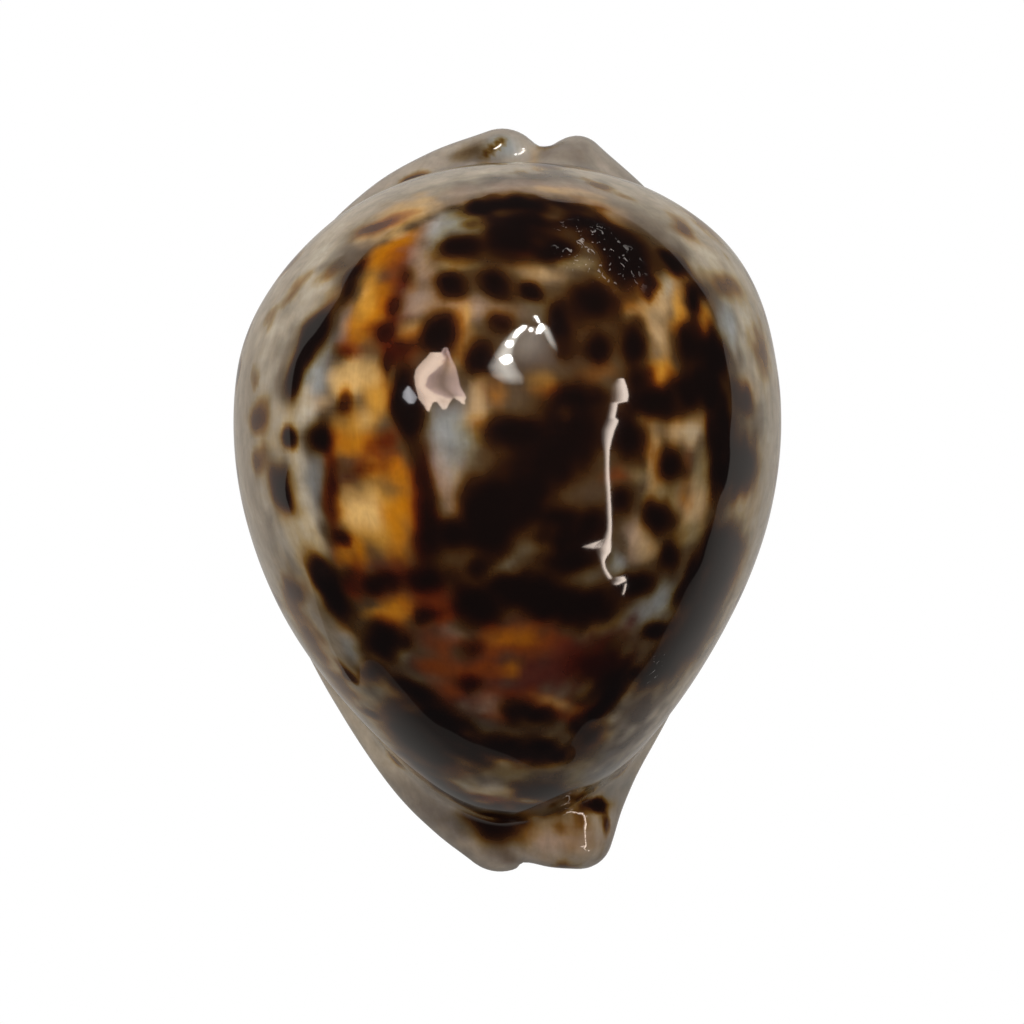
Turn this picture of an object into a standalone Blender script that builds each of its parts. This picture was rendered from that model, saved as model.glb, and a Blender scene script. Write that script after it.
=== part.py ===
"""A tiger cowrie shell, lying on its toothed base with its spotted dome upwards.

The shell is one hollow piece of aragonite. A tall egg-shaped dome stands on a flat base. Thick callus
runs round both ends of the base as two pairs of lobes, with a canal between each pair. A long curved
aperture with a row of teeth on each lip runs along the base from canal to canal, and opens into the
hollow of the last whorl.

+Y points to the broad rear end with the sunken spire, +X to the columella side, +Z up. The origin is on
the resting plane under the middle of the shell.
"""

import math

import bmesh
import bpy
import numpy as np
from mathutils import Matrix

MM = 0.001

# The dome: half width, heights above and below its widest line, and its reach to each end
DOME_HALF_WIDTH = 29.4 * MM
DOME_TOP = 46.0 * MM
DOME_WIDEST_Z = 17.5 * MM
DOME_BELOW = 20.5 * MM
DOME_WIDEST_Y = 8.5 * MM
DOME_FRONT = 43.8 * MM
DOME_REAR = 28.2 * MM
FRONT_DROP = 10.5 * MM
REAR_DROP = 5.0 * MM
FRONT_LEAN = 0.8 * MM
REAR_LEAN = 1.1 * MM
FRONT_TAPER = 0.48
REAR_TAPER = 0.36

# Share of the way to each end over which the dome leans aside, and the soft change at its widest line
FRONT_LEAN_SPAN = (0.45, 0.9)
REAR_LEAN_SPAN = (0.2, 0.75)
WIDEST_SOFT = 0.2

# The callus rims on either side of the base, front to rear: x, y, radius and height of each point
OUTER_LIP = MM * np.array((
    (-0.8, -36.5, 4.5, 7.2),
    (-5.0, -33.1, 4.8, 7.2),
    (-9.7, -28.1, 4.5, 7.2),
    (-17.5, -17.0, 4.1, 7.8),
    (-21.8, -6.0, 4.0, 9.0),
    (-23.5, 7.0, 4.0, 9.0),
    (-22.0, 17.0, 4.0, 9.0),
    (-18.1, 25.7, 4.1, 9.0),
    (-13.5, 30.5, 4.5, 9.0),
    (-7.5, 34.2, 4.2, 9.5),
    (-0.6, 36.8, 4.1, 10.0),
))
COLUMELLA = MM * np.array((
    (8.1, -37.4, 3.7, 6.6),
    (9.4, -33.2, 3.2, 8.0),
    (13.3, -23.6, 3.2, 8.0),
    (17.3, -14.0, 3.5, 9.0),
    (20.8, -3.0, 4.0, 9.0),
    (21.8, 8.0, 4.0, 9.0),
    (19.5, 21.0, 4.0, 9.0),
    (14.2, 30.8, 3.6, 9.0),
    (7.7, 37.2, 2.4, 9.0),
))

# Centre and radii of the flat base, the roofs of the two canals and the sunken spire
BASE = MM * np.array(((0.5, 1.0, 4.5), (21.0, 34.0, 7.4)))
FRONT_ROOF = MM * np.array(((5.6, -36.2, 6.2), (5.4, 4.3, 3.3)))
REAR_ROOF = MM * np.array(((4.6, 33.6, 8.4), (5.5, 4.8, 3.4)))
SPIRE = MM * np.array(((1.2, 38.2, 12.0), (3.6, 2.2, 3.2)))

# How far the callus rounds the corner where each form meets the rest
BASE_BLEND = 5.0 * MM
RIM_BLEND = 3.0 * MM
FRONT_ROOF_BLEND = 2.4 * MM
REAR_ROOF_BLEND = 3.0 * MM
SPIRE_BLEND = 2.0 * MM
REST_BLEND = 2.0 * MM

# Walls: the dome's thickness, the height of the hollow's floor and the round between the two
WALL = 2.4 * MM
FLOOR = 6.0 * MM
FLOOR_BLEND = 4.0 * MM

# The line inside the shell that each surface is spread out from: its middle, half length and farthest reach
SHELL_CORE = MM * np.array((2.0, -1.5, 5.0))
SHELL_CORE_HALF = 35.0 * MM
SHELL_REACH = 70.0 * MM
SHELL_GRID = (60, 52)
HOLLOW_CORE = MM * np.array((0.0, 1.0, 13.0))
HOLLOW_CORE_HALF = 22.0 * MM
HOLLOW_REACH = 60.0 * MM
HOLLOW_GRID = (32, 24)
SPREAD = np.array((1.0, 0.6, 1.0))
HALVINGS = 40

# The aperture: where its middle line runs, its clear half width, and its teeth
APERTURE_X_MID = -4.0 * MM
APERTURE_X_REAR = 5.3 * MM
APERTURE_X_FRONT = 3.6 * MM
APERTURE_Y_MID = 2.0 * MM
APERTURE_REACH = 38.0 * MM
APERTURE_HALF = 2.4 * MM
APERTURE_WIDER = 1.1 * MM
APERTURE_WIDER_Y = -26.0 * MM
APERTURE_WIDER_SPAN = 9.0 * MM
APERTURE_TOP = 9.5 * MM
TOOTH_PITCH = 2.5 * MM
TOOTH_DEPTH = 0.9 * MM
TOOTH_ROW_REAR = 33.0 * MM
TOOTH_ROW_FRONT = -32.0 * MM
TOOTH_STATIONS = (0.0, 0.2, 0.5, 0.7)

# The canals: how much narrower and lower they are than the aperture, and where they take over from it
CANAL_NARROWER = 0.35 * MM
CANAL_NARROW_SPAN = (30.0 * MM, 37.0 * MM)
CANAL_TOP = 5.2 * MM
CANAL_ROOF_SPAN = (31.0 * MM, 35.0 * MM)
FRONT_STATIONS = MM * np.array((-46.0, -41.0, -38.0, -35.0))
REAR_STATIONS = MM * np.array((36.0, 39.0, 42.0, 46.0))

# Section of the aperture: the flare of the lips at the base and the bevel under the roof
LIP_FLARE = 1.2 * MM
LIP_HEIGHT = 1.4 * MM
BELOW_BASE = 1.0 * MM
ROOF_BEVEL = 0.7 * MM
ROOF_BEVEL_HEIGHT = 1.0 * MM


def smooth_min(a, b, reach):
    """The smaller of two distances, with the corner between them rounded over the reach."""
    near = np.maximum(reach - np.abs(a - b), 0.0) / reach
    return np.minimum(a, b) - near**3 * reach / 6.0


def smooth_max(a, b, reach):
    return -smooth_min(-a, -b, reach)


def smooth_step(low, high, value):
    t = np.clip((value - low) / (high - low), 0.0, 1.0)
    return t * t * (3.0 - 2.0 * t)


def dome(p, half_width, reach_y, height, below):
    """Distance to an egg whose plan is broad at the rear and tapers to the front."""
    x, y, z = p.T
    ahead = np.maximum(DOME_WIDEST_Y - y, 0.0) / (DOME_FRONT + reach_y)
    behind = np.maximum(y - DOME_WIDEST_Y, 0.0) / (DOME_REAR + reach_y)
    blunt = 1.0 + FRONT_TAPER * ahead**3
    taper = (1.0 + FRONT_TAPER) * ahead**2 / blunt
    taper = taper + (1.0 - REAR_TAPER) * behind**2 + REAR_TAPER * behind**3
    slope = (1.0 + FRONT_TAPER) * (2.0 * ahead - FRONT_TAPER * ahead**4) / blunt**2 / (DOME_FRONT + reach_y)
    slope = slope + (2.0 * (1.0 - REAR_TAPER) * behind + 3.0 * REAR_TAPER * behind**2) / (DOME_REAR + reach_y)
    x = x - FRONT_LEAN * smooth_step(*FRONT_LEAN_SPAN, ahead)
    x = x - REAR_LEAN * smooth_step(*REAR_LEAN_SPAN, behind)
    z = z - (DOME_WIDEST_Z - FRONT_DROP * ahead**2 - REAR_DROP * behind**2)
    semi = below + (height - below) * smooth_step(-WIDEST_SOFT * below, WIDEST_SOFT * height, z)
    inside = (x / half_width) ** 2 + taper + (z / semi) ** 2 - 1.0
    steep = np.sqrt((2 * x / half_width**2) ** 2 + slope**2 + (2 * z / semi**2) ** 2)
    return inside / np.maximum(steep, 0.2 / half_width)


def rim(p, points):
    """Distance to a rounded bar of callus lying on the base, through points of x, y, radius and height."""
    nearest = np.full(len(p), 1.0)
    for one, two in zip(points, points[1:]):
        start, end = np.array(one[:2]), np.array(two[:2])
        run = end - start
        along = np.clip((p[:, :2] - start) @ run / (run @ run), 0.0, 1.0)
        radius = one[2] + (two[2] - one[2]) * along
        half = (one[3] + (two[3] - one[3]) * along) / 2.0
        aside = np.linalg.norm(p[:, :2] - start - along[:, None] * run, axis=1)
        lift = (p[:, 2] - half) * radius / half
        nearest = np.minimum(nearest, (np.hypot(aside, lift) - radius) * np.minimum(1.0, half / radius))
    return nearest


def mound(p, centre, radii):
    """Distance to an ellipsoid."""
    return (np.linalg.norm((p - centre) / radii, axis=1) - 1.0) * min(radii)


def body(p):
    """Distance to the outside of the whole shell, with neither the hollow nor the aperture."""
    whole = dome(p, DOME_HALF_WIDTH, 0.0, DOME_TOP - DOME_WIDEST_Z, DOME_BELOW)
    whole = smooth_min(whole, mound(p, *BASE), BASE_BLEND)
    whole = smooth_min(whole, rim(p, OUTER_LIP), RIM_BLEND)
    whole = smooth_min(whole, rim(p, COLUMELLA), RIM_BLEND)
    whole = smooth_min(whole, mound(p, *FRONT_ROOF), FRONT_ROOF_BLEND)
    whole = smooth_min(whole, mound(p, *REAR_ROOF), REAR_ROOF_BLEND)
    whole = smooth_max(whole, -mound(p, *SPIRE), SPIRE_BLEND)
    return smooth_max(whole, -p[:, 2], REST_BLEND)


def hollow(p):
    """Distance to the hollow of the last whorl, which keeps a thick floor under it."""
    inner = dome(p, DOME_HALF_WIDTH - WALL, -WALL, DOME_TOP - DOME_WIDEST_Z - WALL, DOME_BELOW - WALL)
    return smooth_max(inner, FLOOR - p[:, 2], FLOOR_BLEND)


def wrapped_sphere(name, distance, core, core_half, reach, grid):
    """A sphere with its poles at the ends, each vertex sent out from a core line to the zero distance."""
    bm = bmesh.new()
    bmesh.ops.create_uvsphere(bm, u_segments=grid[0], v_segments=grid[1], radius=1.0)
    bmesh.ops.rotate(bm, verts=bm.verts, cent=(0, 0, 0), matrix=Matrix.Rotation(math.radians(-90), 3, "X"))
    out = np.array([v.co for v in bm.verts])
    out /= np.linalg.norm(out, axis=1)[:, None]
    start = core + out * np.array((0.0, core_half, 0.0))
    out = out * SPREAD
    low = np.zeros(len(out))
    high = np.full(len(out), reach)
    for _ in range(HALVINGS):
        middle = (low + high) / 2.0
        within = distance(start + out * middle[:, None]) < 0.0
        low = np.where(within, middle, low)
        high = np.where(within, high, middle)
    for vert, co in zip(bm.verts, start + out * low[:, None]):
        vert.co = co
    bmesh.ops.recalc_face_normals(bm, faces=bm.faces)
    mesh = bpy.data.meshes.new(name)
    bm.to_mesh(mesh)
    bm.free()
    return bpy.data.objects.new(name, mesh)


def aperture_middle(y):
    """X of the aperture's middle line: it bows to the outer lip and ends in the two canals."""
    t = (y - APERTURE_Y_MID) / APERTURE_REACH
    end = APERTURE_X_REAR if t > 0 else APERTURE_X_FRONT
    return APERTURE_X_MID + (end - APERTURE_X_MID) * min(abs(t), 1.0) ** 2


def aperture_half(y):
    """Clear half width of the aperture between the tips of the teeth."""
    swell = math.exp(-(((y - APERTURE_WIDER_Y) / APERTURE_WIDER_SPAN) ** 2))
    canal = float(smooth_step(*CANAL_NARROW_SPAN, abs(y)))
    return APERTURE_HALF + APERTURE_WIDER * swell - CANAL_NARROWER * canal


def aperture_cutter(name):
    """The space of the aperture: a loft of eight-sided sections, wider between the teeth and at the base."""
    stations = [(y, 0.0) for y in FRONT_STATIONS]
    y = TOOTH_ROW_FRONT
    while y < TOOTH_ROW_REAR:
        for share in TOOTH_STATIONS:
            stations.append((y + share * TOOTH_PITCH, TOOTH_DEPTH if share >= 0.5 else 0.0))
        y += TOOTH_PITCH
    stations += [(y, 0.0) for y in REAR_STATIONS]
    bm = bmesh.new()
    rows = []
    for y, depth in stations:
        middle = aperture_middle(y)
        half = aperture_half(y)
        roofed = float(smooth_step(*CANAL_ROOF_SPAN, abs(y)))
        top = APERTURE_TOP + (CANAL_TOP - APERTURE_TOP) * roofed
        section = []
        for side in (-1, 1):
            profile = [
                (middle + side * (half + depth + LIP_FLARE), -BELOW_BASE),
                (middle + side * (half + depth), LIP_HEIGHT),
                (middle + side * (half + depth), top - ROOF_BEVEL_HEIGHT),
                (middle + side * (half - ROOF_BEVEL), top),
            ]
            section.append([bm.verts.new((x, y, z)) for x, z in profile])
        rows.append(section[0] + section[1][::-1])
    for one, two in zip(rows, rows[1:]):
        for j in range(len(one)):
            k = (j + 1) % len(one)
            bm.faces.new((one[j], one[k], two[k], two[j]))
    bm.faces.new(rows[0][::-1])
    bm.faces.new(rows[-1])
    bmesh.ops.recalc_face_normals(bm, faces=bm.faces)
    mesh = bpy.data.meshes.new(name)
    bm.to_mesh(mesh)
    bm.free()
    return bpy.data.objects.new(name, mesh)


for old in list(bpy.data.objects):
    bpy.data.objects.remove(old)

parts = bpy.data.collections.new("tiger_cowrie")
cutters = bpy.data.collections.new("cutters")
bpy.context.scene.collection.children.link(parts)
bpy.context.scene.collection.children.link(cutters)

shell = wrapped_sphere("cowrie_shell", body, SHELL_CORE, SHELL_CORE_HALF, SHELL_REACH, SHELL_GRID)
parts.objects.link(shell)

room = wrapped_sphere("hollow", hollow, HOLLOW_CORE, HOLLOW_CORE_HALF, HOLLOW_REACH, HOLLOW_GRID)
cutters.objects.link(room)

slit = aperture_cutter("aperture")
cutters.objects.link(slit)

for cutter in (room, slit):
    cutter.hide_render = True
    cutter.display_type = "WIRE"
    cut = shell.modifiers.new(cutter.name, "BOOLEAN")
    cut.operation = "DIFFERENCE"
    cut.solver = "EXACT"
    cut.object = cutter

glaze = bpy.data.materials.new("spotted glossy shell")
glaze.use_nodes = True
surface = glaze.node_tree.nodes["Principled BSDF"]
surface.inputs["Base Color"].default_value = (0.30, 0.19, 0.10, 1.0)
surface.inputs["Roughness"].default_value = 0.12
surface.inputs["Metallic"].default_value = 0.0
shell.data.materials.append(glaze)
shell.data.shade_smooth()
shell.data.set_sharp_from_angle(angle=math.radians(50))
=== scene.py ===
import math

import bpy
import numpy as np
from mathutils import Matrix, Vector


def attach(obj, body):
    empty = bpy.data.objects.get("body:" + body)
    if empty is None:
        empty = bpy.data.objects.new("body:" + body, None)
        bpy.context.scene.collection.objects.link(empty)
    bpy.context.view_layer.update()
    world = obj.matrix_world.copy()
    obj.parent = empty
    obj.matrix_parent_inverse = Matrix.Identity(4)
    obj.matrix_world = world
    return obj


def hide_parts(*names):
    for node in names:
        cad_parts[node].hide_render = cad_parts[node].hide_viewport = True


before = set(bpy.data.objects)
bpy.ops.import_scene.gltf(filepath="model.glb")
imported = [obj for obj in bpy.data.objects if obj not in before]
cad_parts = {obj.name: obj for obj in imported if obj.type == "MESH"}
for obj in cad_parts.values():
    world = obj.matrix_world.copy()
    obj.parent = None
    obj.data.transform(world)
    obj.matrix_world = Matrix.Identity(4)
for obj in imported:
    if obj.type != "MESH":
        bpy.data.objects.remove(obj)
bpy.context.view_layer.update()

# Shell
# A tiger cowrie is one grown piece of aragonite under glossy callus. Its egg shaped dome swells over a flat
# base, thick rims run round the base to two pairs of lobes, and the last whorl is hollow behind a long slit
# with teeth on both lips. Every size in the node trees is in millimetres.
MATH = "ShaderNodeMath"
VECTOR = "ShaderNodeVectorMath"
RANGE = "ShaderNodeMapRange"
GROUP = "GeometryNodeGroup"


def new_tree(name, inputs, outputs):
    """A geometry node tree. Its inputs and outputs are given by name, with each socket's kind or value."""
    tree = bpy.data.node_groups.new(name, "GeometryNodeTree")
    for side, sockets in (("INPUT", inputs), ("OUTPUT", outputs)):
        for label, value in sockets.items():
            kind = value if isinstance(value, str) else "Float"
            socket = tree.interface.new_socket(label, in_out=side, socket_type="NodeSocket" + kind)
            if kind != value:
                socket.default_value = value
    return tree, tree.nodes.new("NodeGroupInput").outputs, tree.nodes.new("NodeGroupOutput").inputs


def node(tree, kind, *values, **settings):
    """Adds a node with its settings. Each input in turn takes a node, a socket, a value or nothing."""
    made = tree.nodes.new(kind)
    for name, value in settings.items():
        setattr(made, name, value)
    for socket, value in zip((s for s in made.inputs if s.enabled), values):
        if isinstance(value, bpy.types.Node):
            value = next(output for output in value.outputs if output.enabled)
        if isinstance(value, bpy.types.NodeSocket):
            tree.links.new(value, socket)
        elif value is not None:
            socket.default_value = value
    return made


def finish_tree(tree, made, *values):
    """Links the last nodes of a tree to its outputs."""
    for socket, value in zip(made, values):
        if isinstance(value, bpy.types.Node):
            value = next(output for output in value.outputs if output.enabled)
        tree.links.new(value, socket)


# The dome is an egg whose widest line lies low and near the rear. It drops and leans over towards both ends.
# With s as the share of the way from the widest line to an end, the outline narrows in front as
# (1 + b) s2 / (1 + b s3) and behind as (1 - r) s2 + r s3.
BLUNT_FRONT = 0.48
ROUND_REAR = 0.36
dome, given, made = new_tree(
    "dome",
    {
        "Position": "Vector",
        "Wall": 0.0,
        "Half width": 29.4,
        "Reach in front": 43.8,
        "Reach behind": 28.2,
        "Reach above": 28.5,
        "Reach below": 20.5,
        "Widest at": 8.5,
    },
    {"Distance": "Float"},
)
place = node(dome, "ShaderNodeSeparateXYZ", given["Position"])
width = node(dome, MATH, given["Half width"], given["Wall"], operation="SUBTRACT")
front = node(dome, MATH, given["Reach in front"], given["Wall"], operation="SUBTRACT")
rear = node(dome, MATH, given["Reach behind"], given["Wall"], operation="SUBTRACT")
top = node(dome, MATH, given["Reach above"], given["Wall"], operation="SUBTRACT")
below = node(dome, MATH, given["Reach below"], given["Wall"], operation="SUBTRACT")
along = node(dome, MATH, place.outputs["Y"], given["Widest at"], operation="SUBTRACT")
# Shares of the way to the front and to the rear end, and their powers
ahead = node(dome, MATH, along, 0.0, operation="MINIMUM")
ahead = node(dome, MATH, ahead, front, operation="DIVIDE")
ahead = node(dome, MATH, ahead, operation="ABSOLUTE")
behind = node(dome, MATH, along, 0.0, operation="MAXIMUM")
behind = node(dome, MATH, behind, rear, operation="DIVIDE")
ahead_2 = node(dome, MATH, ahead, ahead, operation="MULTIPLY")
ahead_3 = node(dome, MATH, ahead_2, ahead, operation="MULTIPLY")
ahead_4 = node(dome, MATH, ahead_2, ahead_2, operation="MULTIPLY")
behind_2 = node(dome, MATH, behind, behind, operation="MULTIPLY")
behind_3 = node(dome, MATH, behind_2, behind, operation="MULTIPLY")
blunt = node(dome, MATH, ahead_3, BLUNT_FRONT, 1.0, operation="MULTIPLY_ADD")
taper = node(dome, MATH, ahead_2, 1.0 + BLUNT_FRONT, operation="MULTIPLY")
taper = node(dome, MATH, taper, blunt, operation="DIVIDE")
taper = node(dome, MATH, behind_2, 1.0 - ROUND_REAR, taper, operation="MULTIPLY_ADD")
taper = node(dome, MATH, behind_3, ROUND_REAR, taper, operation="MULTIPLY_ADD")
# How fast the outline narrows, which turns its value into a distance
slope_ahead = node(dome, MATH, ahead, 2.0, operation="MULTIPLY")
slope_ahead = node(dome, MATH, ahead_4, -BLUNT_FRONT, slope_ahead, operation="MULTIPLY_ADD")
slope_ahead = node(dome, MATH, slope_ahead, 1.0 + BLUNT_FRONT, operation="MULTIPLY")
blunt_2 = node(dome, MATH, blunt, blunt, operation="MULTIPLY")
slope_ahead = node(dome, MATH, slope_ahead, blunt_2, operation="DIVIDE")
slope_ahead = node(dome, MATH, slope_ahead, front, operation="DIVIDE")
slope_behind = node(dome, MATH, behind, 2.0 * (1.0 - ROUND_REAR), operation="MULTIPLY")
slope_behind = node(dome, MATH, behind_2, 3.0 * ROUND_REAR, slope_behind, operation="MULTIPLY_ADD")
slope_behind = node(dome, MATH, slope_behind, rear, operation="DIVIDE")
slope = node(dome, MATH, slope_ahead, slope_behind, operation="ADD")
# Towards both ends the middle leans to the right, and the widest level sinks from 17.5 mm
lean = node(dome, RANGE, ahead, 0.45, 0.9, 0.0, 0.8, interpolation_type="SMOOTHSTEP")
lean_behind = node(dome, RANGE, behind, 0.2, 0.75, 0.0, 1.1, interpolation_type="SMOOTHSTEP")
lean = node(dome, MATH, lean, lean_behind, operation="ADD")
across = node(dome, MATH, place.outputs["X"], lean, operation="SUBTRACT")
sink = node(dome, MATH, ahead_2, 10.5, -17.5, operation="MULTIPLY_ADD")
sink = node(dome, MATH, behind_2, 5.0, sink, operation="MULTIPLY_ADD")
up = node(dome, MATH, place.outputs["Z"], sink, operation="ADD")
# Above its widest level the egg is taller than below it, and one runs smoothly into the other
semi = node(
    dome,
    RANGE,
    up,
    node(dome, MATH, below, -0.2, operation="MULTIPLY"),
    node(dome, MATH, top, 0.2, operation="MULTIPLY"),
    below,
    top,
    interpolation_type="SMOOTHSTEP",
)
# Zero on the skin, and about a distance in millimetres near it
x_share = node(dome, MATH, across, width, operation="DIVIDE")
z_share = node(dome, MATH, up, semi, operation="DIVIDE")
shares = node(dome, "ShaderNodeCombineXYZ", x_share, 0.0, z_share)
inside = node(dome, VECTOR, shares, shares, operation="DOT_PRODUCT").outputs["Value"]
inside = node(dome, MATH, inside, taper, operation="ADD")
inside = node(dome, MATH, inside, 1.0, operation="SUBTRACT")
steep = node(
    dome,
    "ShaderNodeCombineXYZ",
    node(dome, MATH, node(dome, MATH, x_share, 2.0, operation="MULTIPLY"), width, operation="DIVIDE"),
    slope,
    node(dome, MATH, node(dome, MATH, z_share, 2.0, operation="MULTIPLY"), semi, operation="DIVIDE"),
)
steep = node(dome, VECTOR, steep, operation="LENGTH").outputs["Value"]
steep = node(dome, MATH, steep, 0.007, operation="MAXIMUM")
finish_tree(dome, made, node(dome, MATH, inside, steep, operation="DIVIDE"))

# A mound is an ellipsoid: the flat base, the roofs of the canals and the sunken spire are made of them.
mound, given, made = new_tree(
    "mound",
    {"Position": "Vector", "Centre": "Vector", "Radii": "Vector", "Thinnest": 1.0},
    {"Distance": "Float"},
)
away = node(mound, VECTOR, given["Position"], given["Centre"], operation="SUBTRACT")
away = node(mound, VECTOR, away, given["Radii"], operation="DIVIDE")
away = node(mound, VECTOR, away, operation="LENGTH").outputs["Value"]
away = node(mound, MATH, away, 1.0, operation="SUBTRACT")
finish_tree(mound, made, node(mound, MATH, away, given["Thinnest"], operation="MULTIPLY"))

# A rim is a rounded roll that follows a path on the base plane. It is thicker and higher near its ends.
rim, given, made = new_tree(
    "rim",
    {
        "Position": "Vector",
        "Path": "Geometry",
        "Radius": 4.0,
        "Radius in front": 4.0,
        "Radius behind": 4.0,
        "Height": 9.0,
        "Height in front": 7.0,
        "Height behind": 9.0,
    },
    {"Distance": "Float"},
)
level = node(rim, VECTOR, given["Position"], (1.0, 1.0, 0.0), operation="MULTIPLY")
nearest = node(rim, "GeometryNodeProximity", given["Path"], None, level, target_element="EDGES")
along = node(rim, "ShaderNodeSeparateXYZ", nearest.outputs["Position"]).outputs["Y"]
radii = (given["Radius"], given["Radius in front"])
radius = node(rim, RANGE, along, -20.0, -30.0, *radii, interpolation_type="SMOOTHSTEP")
swell = node(rim, RANGE, along, 18.0, 34.0, 0.0, 1.0, interpolation_type="SMOOTHSTEP")
radius = node(rim, "ShaderNodeMix", swell, radius, given["Radius behind"])
heights = (given["Height"], given["Height in front"])
half = node(rim, RANGE, along, 0.0, -30.0, *heights, interpolation_type="SMOOTHSTEP")
half = node(rim, "ShaderNodeMix", swell, half, given["Height behind"])
half = node(rim, MATH, half, 0.5, operation="MULTIPLY")
up = node(rim, "ShaderNodeSeparateXYZ", given["Position"]).outputs["Z"]
lift = node(rim, MATH, node(rim, MATH, up, half, operation="SUBTRACT"), radius, operation="MULTIPLY")
lift = node(rim, MATH, lift, half, operation="DIVIDE")
away = node(rim, "ShaderNodeCombineXYZ", nearest.outputs["Distance"], lift, 0.0)
away = node(rim, VECTOR, away, operation="LENGTH").outputs["Value"]
away = node(rim, MATH, away, radius, operation="SUBTRACT")
flatter = node(rim, MATH, node(rim, MATH, half, radius, operation="DIVIDE"), 1.0, operation="MINIMUM")
finish_tree(rim, made, node(rim, MATH, away, flatter, operation="MULTIPLY"))

# The whole shell: the dome with base, rims and roofs run together, less the spire's pit, the hollow and the
# slit. Furrows between the teeth run out from the slit over both lips and fade there.
whole, given, made = new_tree(
    "distance to the shell",
    {
        "Position": "Vector",
        "Outer lip": "Geometry",
        "Columella": "Geometry",
        "Wall": 2.4,
        "Tooth pitch": 2.5,
        "Unevenness": 0.12,
    },
    {"Distance": "Float", "Depth": "Float"},
)
position = given["Position"]
shape = node(whole, GROUP, position, 0.0, node_tree=dome)
base = node(whole, GROUP, position, (0.5, 1.0, 4.5), (21.0, 34.0, 7.4), 7.4, node_tree=mound)
shape = node(whole, MATH, shape, base, 5.0, operation="SMOOTH_MIN")
lip = node(whole, GROUP, position, given["Outer lip"], 4.0, 4.7, 4.2, 9.0, 7.2, 9.8, node_tree=rim)
shape = node(whole, MATH, shape, lip, 3.0, operation="SMOOTH_MIN")
lip = node(whole, GROUP, position, given["Columella"], 4.0, 3.4, 3.1, 9.0, 7.4, 9.0, node_tree=rim)
shape = node(whole, MATH, shape, lip, 3.0, operation="SMOOTH_MIN")
roof = node(whole, GROUP, position, (5.6, -36.2, 6.2), (5.4, 4.3, 3.3), 3.3, node_tree=mound)
shape = node(whole, MATH, shape, roof, 2.4, operation="SMOOTH_MIN")
roof = node(whole, GROUP, position, (4.6, 33.6, 8.4), (5.5, 4.8, 3.4), 3.4, node_tree=mound)
shape = node(whole, MATH, shape, roof, 3.0, operation="SMOOTH_MIN")
pit = node(whole, GROUP, position, (1.2, 38.2, 12.0), (3.6, 2.2, 3.2), 2.2, node_tree=mound)
pit = node(whole, MATH, pit, -1.0, operation="MULTIPLY")
shape = node(whole, MATH, shape, pit, 2.0, operation="SMOOTH_MAX")
place = node(whole, "ShaderNodeSeparateXYZ", position)
noise = node(whole, "ShaderNodeTexNoise", position, 0.09, 1.5, 0.5, 2.0, 0.0)
noise = node(whole, MATH, noise.outputs["Fac"], 0.5, operation="SUBTRACT")
shape = node(whole, MATH, noise, given["Unevenness"], shape, operation="MULTIPLY_ADD")
# The slit's middle line and half width along the shell
share = node(whole, MATH, place.outputs["Y"], 2.0, operation="SUBTRACT")
share = node(whole, MATH, share, 38.0, operation="DIVIDE")
bend = node(whole, MATH, share, share, operation="MULTIPLY")
bend = node(whole, MATH, bend, 1.0, 0.3, operation="SMOOTH_MIN")
end = node(whole, RANGE, share, -0.15, 0.15, 7.6, 9.3, interpolation_type="SMOOTHSTEP")
middle = node(whole, MATH, bend, end, -4.0, operation="MULTIPLY_ADD")
from_middle = node(whole, MATH, place.outputs["X"], middle, operation="SUBTRACT")
from_middle = node(whole, MATH, from_middle, operation="ABSOLUTE")
swell = node(whole, MATH, place.outputs["Y"], 26.0, operation="ADD")
swell = node(whole, MATH, swell, 9.0, operation="DIVIDE")
swell = node(whole, MATH, swell, swell, operation="MULTIPLY")
swell = node(whole, MATH, swell, -1.0, operation="MULTIPLY")
swell = node(whole, MATH, swell, operation="EXPONENT")
half = node(whole, MATH, swell, 1.1, 2.1, operation="MULTIPLY_ADD")
# Teeth: a wave along the slit, flattened on its crests, which stops before the canals
wave = node(whole, MATH, math.tau, given["Tooth pitch"], operation="DIVIDE")
wave = node(whole, MATH, place.outputs["Y"], wave, operation="MULTIPLY")
wave = node(whole, MATH, wave, operation="COSINE")
wave = node(whole, MATH, wave, 0.5, 0.5, operation="MULTIPLY_ADD")
reach = node(whole, MATH, place.outputs["Y"], operation="ABSOLUTE")
row = node(whole, RANGE, reach, 31.0, 34.5, 1.0, 0.0, interpolation_type="SMOOTHSTEP")
wave = node(whole, MATH, wave, row, operation="MULTIPLY")
edge = node(whole, MATH, wave, 0.95, half, operation="MULTIPLY_ADD")
slit = node(whole, MATH, from_middle, edge, operation="SUBTRACT")
ceiling = node(whole, RANGE, reach, 31.0, 35.0, 9.5, 5.2, interpolation_type="SMOOTHSTEP")
ceiling = node(whole, MATH, place.outputs["Z"], ceiling, operation="SUBTRACT")
slit = node(whole, MATH, slit, ceiling, 2.0, operation="SMOOTH_MAX")
# Furrows on the base
fade = node(whole, MATH, from_middle, half, operation="SUBTRACT")
fade = node(whole, RANGE, fade, 0.5, 6.5, 0.75, 0.0, interpolation_type="SMOOTHSTEP")
furrow = node(whole, MATH, wave, fade, operation="MULTIPLY")
furrow = node(whole, MATH, furrow, place.outputs["Z"], operation="SUBTRACT")
shape = node(whole, MATH, shape, furrow, 2.0, operation="SMOOTH_MAX")
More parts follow.
